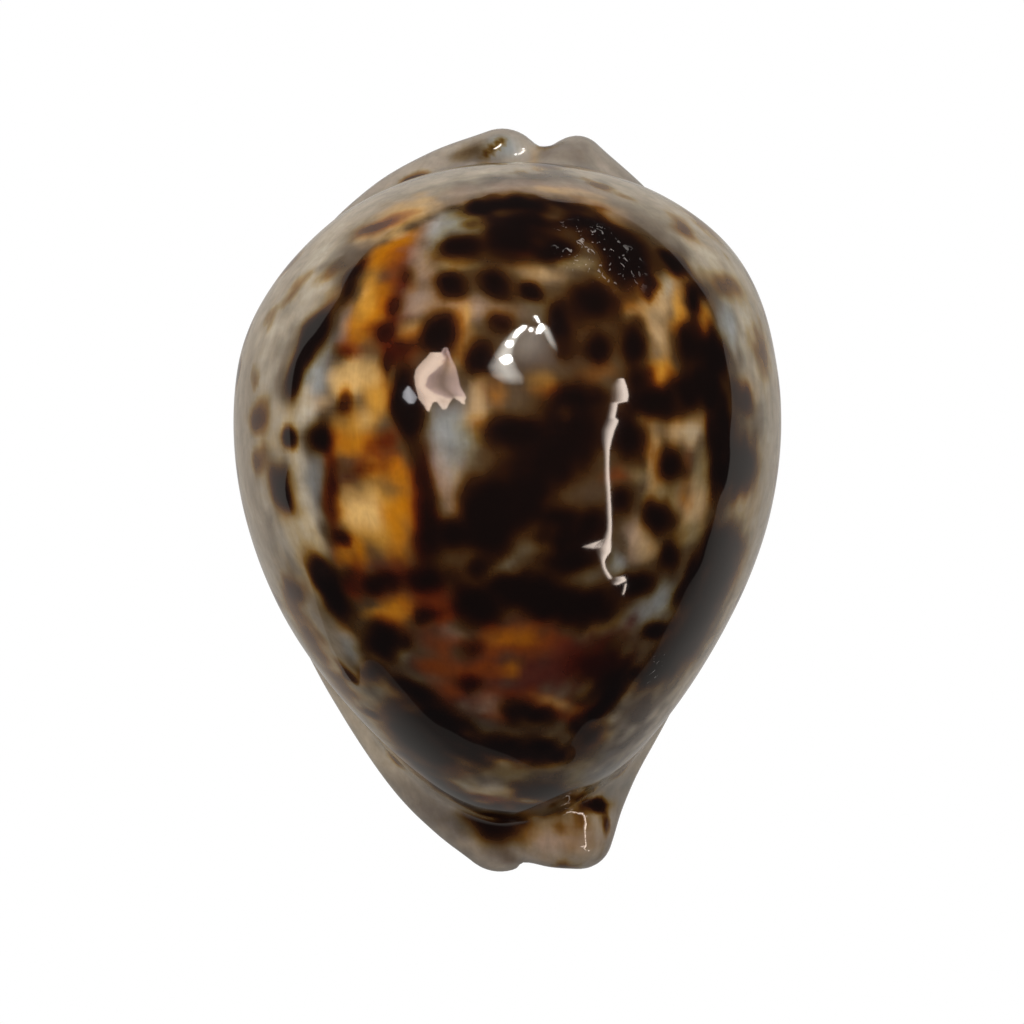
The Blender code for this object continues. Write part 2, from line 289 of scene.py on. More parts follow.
# The hollow
room = node(whole, GROUP, position, given["Wall"], node_tree=dome)
floor_level = node(whole, MATH, 6.0, place.outputs["Z"], operation="SUBTRACT")
room = node(whole, MATH, room, floor_level, 4.0, operation="SMOOTH_MAX")
room = node(whole, MATH, room, slit, 1.5, operation="SMOOTH_MIN")
room = node(whole, MATH, room, -1.0, operation="MULTIPLY")
finish_tree(whole, made, node(whole, MATH, shape, room, 0.9, operation="SMOOTH_MAX"), shape)

# Slope of the distance, by small steps to either side, which is the surface's normal
surface, given, made = new_tree(
    "normal of the shell",
    {"Position": "Vector", "Outer lip": "Geometry", "Columella": "Geometry", "Step": 0.12},
    {"Distance": "Float", "Slope": "Vector"},
)
slopes = []
for axis in ((1.0, 0.0, 0.0), (0.0, 1.0, 0.0), (0.0, 0.0, 1.0)):
    shift = node(surface, VECTOR, axis, operation="SCALE")
    surface.links.new(given["Step"], shift.inputs["Scale"])
    fore = node(surface, VECTOR, given["Position"], shift, operation="ADD")
    back = node(surface, VECTOR, given["Position"], shift, operation="SUBTRACT")
    fore = node(surface, GROUP, fore, given["Outer lip"], given["Columella"], node_tree=whole)
    back = node(surface, GROUP, back, given["Outer lip"], given["Columella"], node_tree=whole)
    slopes.append(node(surface, MATH, fore, back, operation="SUBTRACT"))
slope = node(surface, "ShaderNodeCombineXYZ", *slopes)
double = node(surface, MATH, given["Step"], 2.0, operation="MULTIPLY")
slope = node(surface, VECTOR, slope, node(surface, MATH, 1.0, double, operation="DIVIDE"), operation="SCALE")
centre = node(surface, GROUP, given["Position"], given["Outer lip"], given["Columella"], node_tree=whole)
finish_tree(surface, made, centre, slope)

# The whole tree: a grid of distances is cut at zero, and its skin is drawn onto the exact surface. The scale
# turns millimetres to metres, less a hair, which keeps the fine skin inside the solid's box.
STORE = "GeometryNodeStoreNamedAttribute"
METRES = 0.0009965
growth, given, made = new_tree(
    "tiger cowrie shell",
    {"Outer lip": "Object", "Columella": "Object", "Cells per millimetre": 1.75, "Material": "Material"},
    {"Geometry": "Geometry"},
)
lines = []
for label in ("Outer lip", "Columella"):
    info = node(growth, "GeometryNodeObjectInfo", given[label])
    lines.append(node(growth, "GeometryNodeCurveToMesh", info.outputs["Geometry"]))
position = node(growth, "GeometryNodeInputPosition")
distance = node(growth, GROUP, position, *lines, node_tree=whole)
density = node(growth, MATH, distance, -1.0, operation="MULTIPLY")
low = (-31.0, -43.0, -2.0)
high = (31.0, 43.0, 48.0)
cells = [
    node(growth, MATH, given["Cells per millimetre"], float(side), operation="MULTIPLY")
    for side in np.subtract(high, low)
]
block = node(growth, "GeometryNodeVolumeCube", density, -1.0, low, high, *cells)
skin = node(growth, "GeometryNodeVolumeToMesh", block)
skin.inputs["Threshold"].default_value = 0.0
for turn in range(3):
    measured = node(growth, GROUP, position, *lines, node_tree=surface)
    slope = measured.outputs["Slope"]
    square = node(growth, VECTOR, slope, slope, operation="DOT_PRODUCT")
    share = node(growth, MATH, measured.outputs["Distance"], square.outputs["Value"], operation="DIVIDE")
    share = node(growth, MATH, share, -1.0, operation="MULTIPLY")
    move = node(growth, VECTOR, slope, operation="SCALE")
    growth.links.new(share.outputs[0], move.inputs["Scale"])
    skin = node(growth, "GeometryNodeSetPosition", skin, True, None, move)
measured = node(growth, GROUP, position, *lines, node_tree=surface)
normal = node(growth, VECTOR, measured.outputs["Slope"], operation="NORMALIZE")
skin = node(growth, STORE, skin, True, "surface_normal", normal, data_type="FLOAT_VECTOR")
measured = node(growth, GROUP, position, *lines, node_tree=whole)
skin = node(growth, STORE, skin, True, "depth", measured.outputs["Depth"])
skin = node(growth, "GeometryNodeTransform", skin)
skin.inputs["Scale"].default_value = (METRES, METRES, METRES)
skin = node(growth, "GeometryNodeRealizeInstances", skin)
finish_tree(growth, made, node(growth, "GeometryNodeSetMaterial", skin, True, given["Material"]))

# Paths of the two rims on the base plane, front to rear
PATHS = {
    "Outer lip": (
        (-0.8, -36.5),
        (-5.0, -33.1),
        (-9.7, -28.1),
        (-17.5, -17.0),
        (-21.8, -6.0),
        (-23.5, 7.0),
        (-22.0, 17.0),
        (-18.1, 25.7),
        (-13.5, 30.5),
        (-7.5, 34.2),
        (-0.6, 36.8),
    ),
    "Columella": (
        (8.1, -37.4),
        (9.4, -33.2),
        (13.3, -23.6),
        (17.3, -14.0),
        (20.8, -3.0),
        (21.8, 8.0),
        (19.5, 21.0),
        (14.2, 30.8),
        (7.7, 37.2),
    ),
}
shell = bpy.data.objects.new("shell", bpy.data.meshes.new("shell"))
bpy.context.scene.collection.objects.link(shell)
glaze = bpy.data.materials.new("spotted callus")
glaze.use_nodes = True
grow = shell.modifiers.new("growth", "NODES")
grow.node_group = growth
inputs = {item.name: item.identifier for item in growth.interface.items_tree if item.in_out == "INPUT"}
paths = []
for label, points in PATHS.items():
    curve = bpy.data.curves.new(label, "CURVE")
    curve.dimensions = "3D"
    spline = curve.splines.new("BEZIER")
    spline.bezier_points.add(len(points) - 1)
    spline.resolution_u = 24
    for point, (x, y) in zip(spline.bezier_points, points):
        point.co = (x, y, 0.0)
        point.handle_left_type = "AUTO"
        point.handle_right_type = "AUTO"
    path = bpy.data.objects.new(label, curve)
    bpy.context.scene.collection.objects.link(path)
    grow[inputs[label]] = path
    paths.append(path)
grow[inputs["Material"]] = glaze
bpy.context.view_layer.update()
graph = bpy.context.evaluated_depsgraph_get()
skin = bpy.data.meshes.new_from_object(shell.evaluated_get(graph))
shell.modifiers.remove(grow)
shell.data = skin
for path in paths:
    bpy.data.objects.remove(path)
normals = np.empty(len(skin.vertices) * 3, np.float32)
skin.attributes["surface_normal"].data.foreach_get("vector", normals)
skin.attributes.remove(skin.attributes["surface_normal"])
skin.normals_split_custom_set_from_vertices(normals.reshape(-1, 3))

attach(shell, "root")
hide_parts("cowrie_shell")

# Colours of the shell
# The mantle laid its pigments in thin clear layers, so marks lie over each other and have soft tawny rims. Each
# is a soft oval with a place in millimetres as seen from above, and slow waves bend and fray its edge. A few
# dark ovals paint shade in the crease along the front of the dome and in the small pit in front.
points = np.empty(len(skin.vertices) * 3, np.float32)
skin.vertices.foreach_get("co", points)
points = points.reshape(-1, 3) * 1000.0
normals = normals.reshape(-1, 3)
depth = np.empty(len(skin.vertices), np.float32)
skin.attributes["depth"].data.foreach_get("value", depth)
skin.attributes.remove(skin.attributes["depth"])


def colour(code):
    """Linear red, green, blue and alpha of an sRGB hex code."""
    shares = [int(code[i : i + 2], 16) / 255.0 for i in (1, 3, 5)]
    return [s / 12.92 if s <= 0.04045 else ((s + 0.055) / 1.055) ** 2.4 for s in shares] + [1.0]


def ease(low, high, value):
    """Smooth step from 0 at low to 1 at high."""
    share = np.clip((value - low) / (high - low), 0.0, 1.0)
    return share * share * (3.0 - 2.0 * share)


def wander(length, reach, seed):
    """Smooth wandering offset of every point, with bends of about this length and sideways reach."""
    rng = np.random.default_rng(seed)
    waves = rng.normal(size=(3, 16))
    waves *= rng.uniform(0.7, 1.4, 16) * math.tau / length / np.linalg.norm(waves, axis=0)
    turns = rng.uniform(0.0, math.tau, (3, 1, 16))
    return np.sin(points @ waves + turns).sum(axis=2).T * reach / math.sqrt(8.0)


def oval(x, y, long, short, turn):
    """Distance of every point from the middle of an oval on the skin, as a share of the oval's reach."""
    # Its middle is on the topmost skin near x and y that faces up, or else on the nearest skin
    gap = np.hypot(points[:, 0] - x, points[:, 1] - y)
    near = np.flatnonzero((gap < 1.2) & (normals[:, 2] > 0.02) & (depth > -0.5))
    if not len(near):
        near = np.flatnonzero((gap < gap.min() + 1.5) & (depth > -0.5))
    near = near[points[near, 2] > points[near, 2].max() - 4.0]
    middle = near[np.argmin(gap[near])]
    away = bent - bent[middle]
    out = away @ normals[middle]
    away = away - out[:, None] * normals[middle]
    turn = math.radians(turn)
    share = np.hypot(
        (away[:, 0] * math.cos(turn) + away[:, 1] * math.sin(turn)) / long,
        (away[:, 1] * math.cos(turn) - away[:, 0] * math.sin(turn)) / short,
    )
    # It stays off skin that lies far below, turns away from it or is inside the shell
    apart = (np.abs(out) > 14.0) | (normals @ normals[middle] < 0.1) | (depth < -0.5)
    return np.where(apart, 9.0, share)


bent = points + (wander(13.0, 0.25, 5) + wander(4.5, 0.12, 6)) * ease(6.0, 18.0, points[:, 2:])
mottle = wander(5.0, 0.5, 7)
frayed = wander(2.2, 0.3, 8)

# Dark blotches, and painted shade in the front crease and the pit in front: x, y, half length, half width, turn
# in degrees, and how dark
BLOTCHES_AND_SHADE = (
    (-13.2, 28.3, 2.7, 0.8, 20, 0.6),
    (-18.2, 23.6, 1.6, 0.7, 35, 0.4),
    (-21.9, 22.0, 2.3, 0.5, 55, 0.35),
    (-25.0, 19.0, 1.7, 0.4, 65, 0.25),
    (-26.4, 11.9, 1.5, 0.3, 80, 0.3),
    (-19.9, 16.9, 5.5, 1.1, 61, 1),
    (-21.4, 13.7, 2.5, 0.7, 75, 0.9),
    (-25.8, 8.5, 1.8, 1.0, -90, 0.65),
    (-25.8, 4.1, 1.4, 0.8, -90, 0.5),
    (-22.4, 6.4, 1.1, 0.8, -90, 0.9),
    (-18.7, 6.2, 1.5, 1.4, -90, 1),
    (-23.3, 0.4, 2.5, 1.1, -72, 0.9),
    (-22.7, 0.2, 1.6, 0.4, -72, 0.8),
    (-17.8, 2.0, 2.4, 0.9, -90, 0.6),
    (-17.9, -1.4, 1.2, 0.9, -90, 0.5),
    (-16.7, -4.0, 0.9, 0.8, 0, 0.8),
    (-18.2, -9.6, 3.9, 1.4, -60, 1),
    (-19.3, -7.3, 1.4, 1.4, 0, 0.8),
    (-12.7, -15.1, 2.2, 2.0, 0, 0.95),
    (-14.1, -18.0, 1.5, 1.3, 0, 0.75),
    (-16.6, -18.6, 1.7, 0.4, -50, 0.6),
    (-22.5, -9.5, 1.7, 1.4, -60, 0.5),
    (-20.6, -15.0, 5.3, 1.0, -62, 0.5),
    (-17.3, -20.2, 2.3, 0.9, -50, 0.35),
    (-14.4, -22.8, 1.2, 0.6, -25, 0.6),
    (-15.7, 23.3, 2.1, 0.7, 55, 0.7),
    (-10.7, 22.6, 1.2, 1.0, -90, 0.4),
    (-11.5, 19.5, 1.2, 1.0, -90, 0.6),
    (-12.3, 17.0, 1.4, 0.9, 0, 0.65),
    (-16.5, 15.0, 0.9, 0.9, 0, 0.4),
    (-12.2, 13.4, 1.6, 0.8, -90, 0.7),
    (-16.5, 9.5, 1.2, 0.7, -90, 0.6),
    (-10.8, 15.5, 1.4, 1.0, 0, 0.5),
    (-10.6, 10.5, 3.0, 1.1, -90, 0.9),
    (-9.8, 7.9, 2.4, 1.4, -90, 0.95),
    (-14.3, 2.7, 2.0, 0.8, 0, 0.3),
    (-12.3, 5.6, 1.4, 1.0, 0, 0.35),
    (-8.7, 2.9, 2.6, 1.0, -90, 0.6),
    (-7.8, -2.6, 4.0, 1.2, -90, 0.9),
    (-13.2, -8.8, 1.8, 1.3, 0, 0.75),
    (-16.1, -7.8, 1.2, 1.0, -90, 0.4),
    (-8.3, -8.0, 2.2, 1.6, 0, 1),
    (-8.4, -11.8, 1.4, 1.2, 0, 0.7),
    (-10.2, -14.5, 1.0, 0.8, -90, 0.5),
    (-6.7, 16.9, 2.0, 1.9, 0, 1),
    (-2.8, 13.7, 1.8, 1.5, -90, 0.95),
    (-5.7, 21.9, 1.4, 1.3, -90, 0.95),
    (-1.2, 21.9, 1.7, 1.7, 0, 0.92),
    (2.1, 21.0, 1.3, 1.1, 0, 0.92),
    (-4.7, 25.8, 2.3, 1.3, 5, 0.92),
    (0.4, 26.3, 2.6, 2.1, 0, 0.97),
    (4.6, 25.4, 1.8, 1.3, 0, 0.95),
    (1.3, 28.4, 4.1, 1.2, 0, 0.9),
    (0.5, 30.4, 4.3, 1.0, 3, 1),
    (-2.8, 29.8, 1.4, 0.8, 20, 0.9),
    (8.0, 28.5, 3.1, 1.0, -12, 0.9),
    (7.5, 30.1, 2.5, 0.8, -5, 0.6),
    (8.9, 20.1, 2.6, 2.0, 0, 0.92),
    (5.1, 18.1, 1.8, 1.4, -90, 0.88),
    (-0.4, 17.6, 1.5, 1.1, 0, 0.7),
    (9.2, 15.0, 1.5, 1.4, 0, 0.85),
    (5.9, 15.0, 1.6, 1.0, -90, 0.5),
    (12.8, 24.3, 3.3, 2.4, -80, 1),
    (10.5, 26.6, 2.7, 1.4, -25, 0.9),
    (14.7, 21.9, 1.4, 0.8, -90, 0.8),
    (17.2, 24.2, 1.7, 1.1, -45, 0.95),
    (19.1, 20.7, 2.1, 0.9, -90, 0.95),
    (18.6, 15.7, 2.2, 1.8, -90, 0.9),
    (21.5, 14.3, 2.9, 1.2, -82, 1),
    (19.7, 11.6, 2.0, 1.6, 0, 0.85),
    (12.6, 15.6, 2.3, 1.4, -90, 0.95),
    (13.2, 12.0, 1.6, 1.0, 0, 0.7),
    (15.0, 9.8, 3.4, 1.7, 0, 0.95),
    (18.6, 10.6, 1.4, 1.4, 0, 0.8),
    (20.9, 10.2, 1.8, 1.2, -90, 0.9),
    (18.4, 28.6, 1.7, 0.7, -45, 0.5),
    (20.7, 29.5, 2.6, 0.5, -42, 0.4),
    (22.8, 22.4, 1.9, 1.4, -10, 0.45),
    (26.7, 15.5, 2.9, 0.8, -82, 0.45),
    (24.4, 10.7, 1.9, 0.9, -80, 0.8),
    (24.5, 3.5, 2.9, 1.7, -90, 0.9),
    (22.4, 2.5, 2.5, 1.2, 82, 1),
    (21.4, 6.6, 2.3, 1.0, -90, 0.9),
    (22.0, 8.1, 2.0, 0.9, -90, 0.9),
    (19.6, -7.1, 5.0, 0.9, 67, 0.9),
    (22.2, -4.7, 1.9, 1.7, -90, 0.8),
    (22.2, -8.4, 5.2, 1.7, 67, 0.8),
    (19.3, -13.8, 5.2, 1.9, 63, 0.8),
    (15.5, -18.0, 3.1, 1.5, 55, 0.85),
    (0.5, 6.8, 3.0, 1.6, 0, 1),
    (-1.7, -1.7, 4.6, 3.1, -90, 1),
    (-5.2, -3.7, 2.4, 1.8, 0, 1),
    (2.5, -0.1, 2.8, 2.6, -90, 0.95),
    (6.3, 6.3, 3.8, 2.6, 0, 0.85),
    (6.9, 9.9, 3.0, 2.0, 0, 0.95),
    (4.1, 3.4, 4.0, 2.2, 0, 0.85),
    (8.4, -2.6, 2.2, 1.6, 0, 0.9),
    (5.3, -1.6, 2.4, 1.4, 0, 0.85),
    (5.5, -3.7, 2.6, 1.3, 0, 0.85),
    (-2.9, -6.8, 1.4, 1.2, 0, 0.7),
    (6.4, -6.2, 2.8, 1.4, 0, 1),
    (3.3, -10.2, 3.0, 2.6, 0, 1),
    (7.9, -10.8, 3.3, 2.0, 0, 1),
    (-2.8, -10.8, 2.6, 2.2, 0, 1),
    (0.3, -9.2, 2.2, 1.4, 0, 0.95),
    (16.7, 3.2, 1.7, 1.6, -90, 0.95),
    (15.2, -2.1, 1.7, 1.4, -70, 0.95),
    (16.5, -5.7, 2.0, 1.2, 75, 0.85),
    (13.4, -8.8, 2.2, 1.3, 10, 1),
    (15.3, -13.7, 1.2, 0.8, 0, 0.9),
    (11.6, -0.1, 1.5, 1.2, -90, 0.85),
    (12.2, 6.5, 2.2, 1.8, -90, 0.95),
    (-3.8, -19.5, 1.2, 0.8, 0, 0.6),
    (1.3, -22.1, 2.1, 1.5, 0, 0.75),
    (3.4, -22.5, 1.9, 0.9, 0, 0.75),
    (-3.3, -15.5, 1.2, 1.0, -90, 0.5),
    (-9.3, -20.4, 2.7, 1.3, -35, 0.9),
    (-6.0, -23.6, 3.1, 1.3, -35, 0.9),
    (-0.8, -26.1, 3.2, 1.5, -8, 0.9),
    (4.0, -26.6, 3.6, 1.6, 0, 0.95),
    (10.7, -20.9, 3.6, 0.8, 50, 0.9),
    (8.7, -24.8, 2.1, 1.5, 50, 0.8),
    (10.9, -19.2, 3.5, 1.7, 52, 0.85),
    (9.6, -17.1, 3.1, 2.3, 20, 0.5),
    (-9.8, -25.5, 4.9, 2.1, -42, 0.95),
    (-6.0, -25.9, 3.8, 1.5, -30, 0.9),
    # Partly blotch, partly painted shade in the crease between the dome and the front flange
    (-7.3, -30.7, 5.4, 0.8, -32, 0.9),
    (3.5, -31.1, 3.2, 1.1, 0, 0.8),
    (5.7, -32.4, 2.6, 0.9, 0, 0.85),
    # The next four rows: painted shade in the same crease and at the left foot of the front pad, over real
    # blotches
    (-4.0, -33.0, 3.7, 0.6, -28, 0.95),
    (-0.8, -33.9, 3.5, 0.9, -12, 0.95),
    (-0.5, -35.6, 2.6, 1.3, 0, 0.8),
    (-3.2, -35.2, 2.0, 0.9, -25, 0.6),
    (4.1, -33.7, 3.3, 0.7, -3, 0.95),
    # The next two rows are painted shade in the small pit between the dome, the front pad and the right lobe
    (9.8, -33.5, 1.4, 0.7, -10, 1),
    (10.9, -35.7, 1.5, 0.4, -90, 0.6),
    (6.4, -40.4, 1.5, 0.5, 0, 0.5),
    (-1.9, 38.2, 1.4, 0.3, 45, 0.45),
    (5.4, 36.0, 2.6, 0.5, 0, 0.75),
    (9.7, 32.9, 2.3, 0.3, -25, 0.4),
    (-4.1, 38.3, 1.7, 0.9, 20, 0.2),
)

# Pigments under the blotches, with some painted shade in front, in the order they are laid: colour, x, y, half
# length, half width, turn, share
WASHES_AND_SHADE = (
    ("ash", -25.4, 10.3, 11.4, 1.9, -90, 0.7),
    ("ash", -22.5, -4.2, 6.2, 2.1, -75, 0.7),
    ("slate", -19.6, 12.6, 4.1, 1.5, 75, 0.85),
    ("sand", -19.0, 9.5, 2.2, 0.9, 10, 0.6),
    ("ash", -21.2, 8.6, 2.0, 1.8, -90, 0.9),
    ("ash", -21.2, 3.8, 3.1, 1.2, -85, 0.8),
    ("slate", -19.8, 1.8, 2.9, 1.1, -90, 0.6),
    ("ash", -20.9, -4.2, 3.5, 1.6, -75, 0.85),
    ("chestnut", -18.0, -0.1, 4.1, 0.9, -90, 0.8),
    ("ash", -20.5, -4.7, 1.9, 1.4, -90, 0.6),
    ("ash", 25.0, 17.7, 8.3, 1.2, -82, 0.8),
    ("sand", 25.4, 11.6, 2.1, 1.0, -90, 0.5),
    ("slate", 22.8, 18.3, 2.3, 0.9, -90, 0.8),
    ("sand", 20.1, 26.6, 3.1, 0.8, -40, 0.5),
    ("sand", 25.3, -0.1, 2.1, 1.5, -90, 0.6),
    ("smoke", 21.3, -9.4, 6.2, 1.9, 67, 0.5),
    ("rose", -16.7, 18.1, 2.4, 0.7, 80, 0.6),
    ("sand", -16.9, -14.0, 1.7, 0.7, -60, 0.7),
    ("slate", -16.4, -15.4, 1.7, 0.7, -60, 0.8),
    ("slate", -10.7, -16.1, 1.0, 0.8, 0, 0.5),
    ("slate", -13.8, -20.0, 2.1, 0.9, 0, 0.8),
    ("chestnut", -11.3, -21.7, 1.3, 0.9, 10, 0.7),
    ("honey", -12.2, -22.6, 0.7, 0.6, -90, 0.6),
    ("amber", -10.5, 26.6, 3.3, 1.0, 25, 0.9),
    ("amber", -12.6, 25.0, 2.7, 1.2, 25, 0.9),
    ("gold", -14.2, 20.3, 3.1, 1.4, 78, 0.95),
    ("honey", -14.6, 20.7, 1.4, 0.7, 75, 0.6),
    ("amber", -15.1, 17.4, 1.4, 1.4, 0, 0.95),
    ("chestnut", -15.9, 15.1, 1.6, 1.2, 0, 0.8),
    ("chestnut", -11.7, 21.8, 4.1, 1.6, 80, 0.9),
    ("amber", -13.7, 19.2, 3.7, 1.8, 72, 0.85),
    ("gold", -14.4, 20.3, 2.6, 0.9, 70, 0.8),
    ("wine", -10.6, 21.0, 4.3, 1.1, 82, 0.85),
    ("wine", -12.2, 16.9, 2.8, 1.2, 0, 0.85),
    ("chestnut", -11.2, 14.8, 2.0, 1.6, 0, 0.8),
    ("chestnut", -10.8, 25.3, 1.6, 1.0, 20, 0.5),
    ("honey", -15.7, 12.3, 2.4, 1.8, 0, 0.9),
    ("gold", -13.2, 10.5, 3.0, 1.6, -90, 0.95),
    ("honey", -14.1, 12.5, 1.4, 1.4, 0, 0.8),
    ("gold", -14.9, 7.5, 2.2, 2.0, -90, 0.9),
    ("honey", -14.2, 8.2, 1.4, 0.9, -90, 0.6),
    ("amber", -14.9, 5.5, 2.0, 1.4, 0, 0.8),
    ("chestnut", -12.2, 5.5, 1.6, 1.6, 0, 0.8),
    ("chestnut", -13.6, 3.3, 3.0, 1.4, 0, 0.8),
    ("wine", -16.5, 1.9, 1.2, 1.2, 0, 0.6),
    ("amber", -11.6, 2.1, 1.4, 1.4, 0, 0.7),
    ("gold", -12.9, -2.1, 3.6, 3.4, 0, 0.95),
    ("honey", -14.7, -1.5, 2.0, 2.0, 0, 0.9),
    ("amber", -10.6, 1.9, 1.6, 1.2, -90, 0.8),
    ("amber", -10.8, -2.6, 4.5, 1.4, -90, 0.9),
    ("amber", -15.8, -5.7, 1.6, 1.4, 0, 0.7),
    ("amber", -10.2, -0.6, 4.0, 1.2, -90, 0.9),
    ("chestnut", -8.8, -1.6, 4.4, 1.0, -90, 0.85),
    ("amber", -15.4, -5.4, 1.6, 1.4, 0, 0.8),
    ("gold", -16.0, -4.7, 0.8, 0.8, 0, 0.5),
    ("wine", -11.9, -7.7, 3.7, 2.4, 0, 0.85),
    ("chestnut", -15.5, -8.1, 2.0, 1.2, -90, 0.7),
    ("gold", -12.6, -11.5, 2.5, 0.8, 0, 0.9),
    ("amber", -11.0, -11.1, 1.8, 1.4, 0, 0.7),
    ("chestnut", -8.4, -10.3, 2.6, 2.0, -90, 0.8),
    ("sand", -10.9, 29.9, 4.8, 1.5, 24, 0.9),
    ("ash", -21.5, 20.7, 5.2, 2.3, 56, 0.7),
    ("ash", -19.6, 25.4, 3.1, 1.3, 45, 0.7),
    ("ash", 20.9, 24.7, 3.5, 1.5, -52, 0.7),
    ("rose", -5.4, 31.7, 3.1, 0.8, 12, 0.5),
    ("umber", 4.0, 34.0, 7.4, 0.9, 0, 0.6),
    ("rose", 3.9, 32.7, 6.7, 0.9, 0, 0.75),
    ("honey", 5.5, 32.2, 3.1, 0.4, -5, 0.4),
    ("honey", -10.3, 29.6, 2.9, 1.3, 35, 0.75),
    ("honey", 10.0, 30.4, 2.5, 0.8, -30, 0.5),
    ("rose", 9.6, 30.5, 3.5, 0.8, -25, 0.6),
    ("rose", -8.4, 23.9, 3.5, 1.3, 85, 0.9),
    ("slate", -5.4, 28.7, 4.1, 1.2, 14, 0.9),
    ("slate", -7.3, 25.9, 2.0, 0.8, 80, 0.6),
    ("khaki", -4.5, 23.8, 2.2, 0.7, 0, 0.8),
    ("rose", -3.2, 19.5, 4.0, 1.1, 0, 0.85),
    ("rose", -8.4, 19.8, 2.0, 1.6, 0, 0.7),
    ("honey", -4.5, 17.8, 1.6, 0.8, -90, 0.6),
    ("sand", -4.7, 15.0, 2.0, 1.2, -90, 0.6),
    ("honey", -10.0, 16.6, 1.2, 1.0, 0, 0.5),
    ("umber", -9.2, 12.8, 2.2, 2.0, 0, 0.7),
    ("sand", 3.4, 23.1, 2.4, 1.1, 0, 0.9),
    ("chestnut", 1.5, 25.1, 1.2, 0.6, 0, 0.2),
    ("khaki", 7.2, 23.7, 2.6, 0.8, -5, 0.8),
    ("khaki", 10.4, 22.0, 2.0, 0.8, -30, 0.6),
    ("olive", 3.3, 19.6, 1.6, 1.2, 0, 0.6),
    ("umber", 4.8, 14.0, 5.0, 3.0, 0, 0.7),
    ("gold", 3.3, 12.3, 1.4, 1.2, 0, 0.3),
    ("amber", 9.5, 12.6, 1.6, 0.8, 0, 0.2),
    ("amber", 3.9, 11.1, 1.4, 0.8, 0, 0.3),
    ("amber", -1.4, 10.1, 1.4, 1.2, -90, 0.45),
    ("sand", -2.9, 8.7, 1.8, 1.2, -90, 0.5),
    ("umber", -9.3, -20.9, 3.8, 2.7, -45, 0.6),
    ("slate", -5.1, 6.9, 2.8, 2.6, 0, 0.7),
    ("umber", -9.3, 8.7, 3.0, 1.2, -90, 0.8),
    ("sand", -2.7, 8.4, 2.6, 1.0, 85, 0.8),
    ("slate", -4.1, 5.9, 1.4, 1.2, 0, 0.8),
    ("rose", -6.4, 2.3, 2.8, 1.7, -85, 0.85),
    ("slate", -5.7, 2.9, 2.2, 0.9, -85, 0.4),
    ("wine", -8.3, 2.9, 2.8, 1.0, -90, 0.8),
    ("sand", 15.2, 20.1, 2.9, 2.4, 0, 0.95),
    ("sand", 13.1, 19.6, 1.6, 0.8, 0, 0.8),
    ("ash", 16.5, 21.9, 1.2, 1.2, 0, 0.6),
    ("sand", 15.7, 16.7, 2.4, 1.2, -90, 0.9),
    ("gold", 15.5, 13.3, 1.5, 1.2, -90, 0.95),
    ("gold", 17.7, 19.5, 2.5, 0.8, -90, 0.9),
    ("gold", 20.4, 18.2, 1.8, 0.8, -90, 0.9),
    ("sand", 18.0, 7.0, 2.8, 1.5, 0, 0.8),
    ("ash", 18.8, 6.8, 1.2, 0.8, 0, 0.5),
    ("sand", 14.9, 3.8, 3.4, 0.9, -90, 0.8),
    ("khaki", 16.8, -0.1, 2.0, 1.2, 0, 0.8),
    ("chestnut", 11.6, 2.5, 1.4, 0.7, 0, 0.6),
    ("khaki", 13.0, 2.3, 1.2, 0.8, 0, 0.5),
    ("khaki", 19.9, 2.0, 3.7, 0.8, 85, 0.8),
    ("sand", 19.5, -0.9, 2.0, 1.8, -90, 0.9),
    ("khaki", 18.5, -3.3, 1.6, 1.2, 0, 0.8),
    ("amber", 18.0, 0.1, 1.2, 0.7, -90, 0.6),
    ("sand", 13.8, -4.7, 1.6, 1.4, -90, 0.9),
    ("rose", 12.7, -4.1, 2.2, 0.8, -90, 0.6),
    ("slate", 11.1, -6.4, 1.4, 1.0, -90, 0.7),
    ("slate", 16.0, -11.0, 2.5, 1.4, 70, 0.8),
    ("slate", 10.0, -13.1, 2.3, 0.8, 25, 0.85),
    ("khaki", 8.5, -13.6, 1.4, 0.6, 20, 0.6),
    ("slate", 14.7, -11.6, 1.9, 1.4, 30, 0.6),
    ("sand", 17.1, -13.6, 1.7, 0.5, 60, 0.7),
    ("ash", 24.7, -1.1, 2.1, 1.7, -90, 0.6),
    ("ash", 27.3, 5.2, 8.4, 0.8, -90, 0.6),
    ("wine", 2.4, -17.0, 10.3, 4.6, 0, 0.9),
    ("umber", -6.0, -22.2, 6.3, 2.1, -35, 0.85),
    ("umber", -9.6, -19.8, 5.6, 2.7, -42, 0.8),
    ("wine", -2.8, -20.8, 6.2, 1.9, -10, 0.7),
    ("umber", 10.7, -20.4, 5.8, 2.7, 52, 0.85),
    ("umber", 14.8, -15.6, 3.1, 2.1, 55, 0.6),
    ("umber", 1.3, -24.7, 6.3, 1.7, 0, 0.8),
    ("wine", -5.8, -10.8, 2.0, 2.0, 0, 0.8),
    ("umber", 5.5, -24.7, 8.4, 2.5, 5, 0.7),
    ("umber", 19.5, -14.2, 6.7, 2.5, 63, 0.9),
    ("umber", 14.2, -21.7, 5.3, 2.7, 55, 0.95),
    ("umber", 9.9, -28.0, 3.6, 2.6, 40, 0.8),
    ("olive", 1.1, -5.4, 2.2, 0.8, 30, 0.4),
    ("umber", -4.6, -7.7, 2.0, 1.4, -25, 0.7),
    ("chestnut", -6.1, -11.5, 1.6, 1.0, -90, 0.6),
    ("rose", -5.0, -13.6, 1.2, 0.8, 0, 0.4),
    ("chestnut", 1.3, -15.2, 5.1, 1.6, 8, 0.95),
    ("amber", 0.8, -14.4, 3.1, 1.0, 5, 0.35),
    ("amber", 0.6, -17.4, 1.2, 1.2, 0, 0.5),
